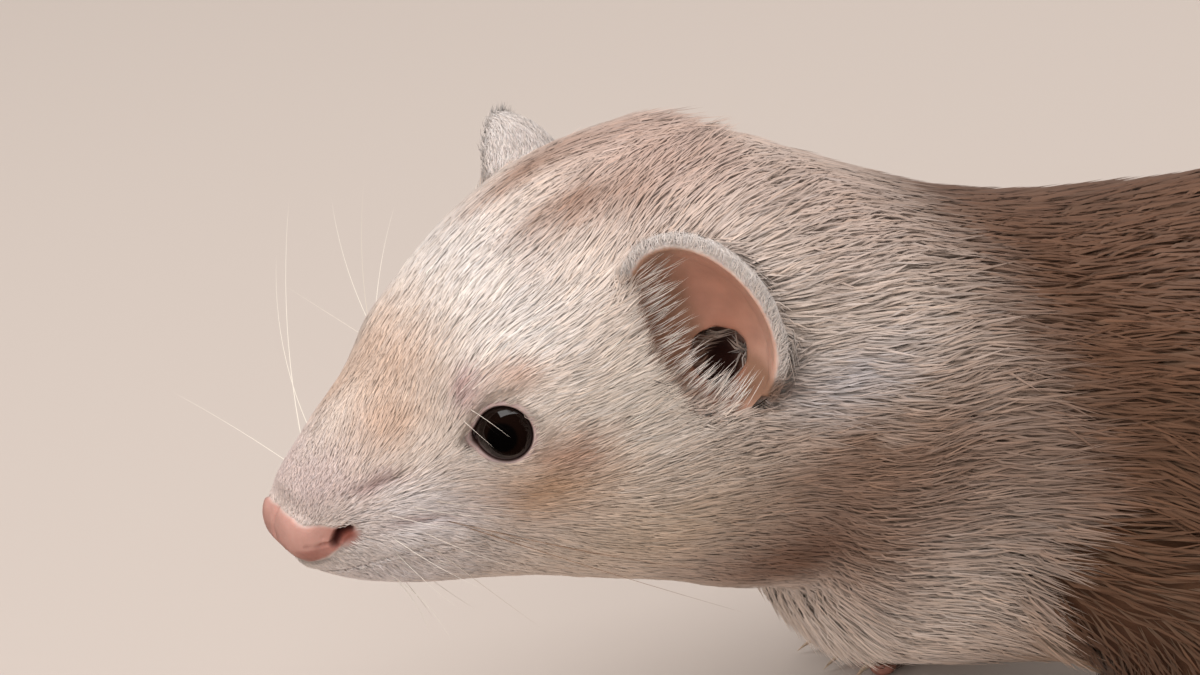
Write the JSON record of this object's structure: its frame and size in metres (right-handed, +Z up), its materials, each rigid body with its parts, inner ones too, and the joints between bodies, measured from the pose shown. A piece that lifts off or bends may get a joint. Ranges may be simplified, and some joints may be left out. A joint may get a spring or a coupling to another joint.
{
  "type": "ferret",
  "caption": "Life-size ferret on its feet, body level and low, neck raised, head turned to its left, tail laid on the floor behind; a still museum-type model.",
  "frame": {"origin": "on the floor, under the middle of the animal's bounding box", "axes": "+X along the body towards the head, +Y to the animal's left, +Z up"},
  "size_m": [0.4244, 0.0804, 0.1044],
  "materials": {
    "coat": "short dense fur, sandy to brown",
    "pale_coat": "short dense fur, cream",
    "bare_skin": "bare pink nose skin, slightly moist",
    "eye": "polished, near black"
  },
  "bodies": {
    "root": {"head": "pale_coat", "nose": "bare_skin", "eye_left": "eye", "eye_right": "eye", "ear_left": "pale_coat", "ear_right": "pale_coat", "neck": "coat", "torso": "coat", "foreleg_left": "coat", "foreleg_right": "coat", "hindleg_left": "coat", "hindleg_right": "coat", "tail_root": "coat", "tail_tip": "coat"}
  },
  "joints": []
}
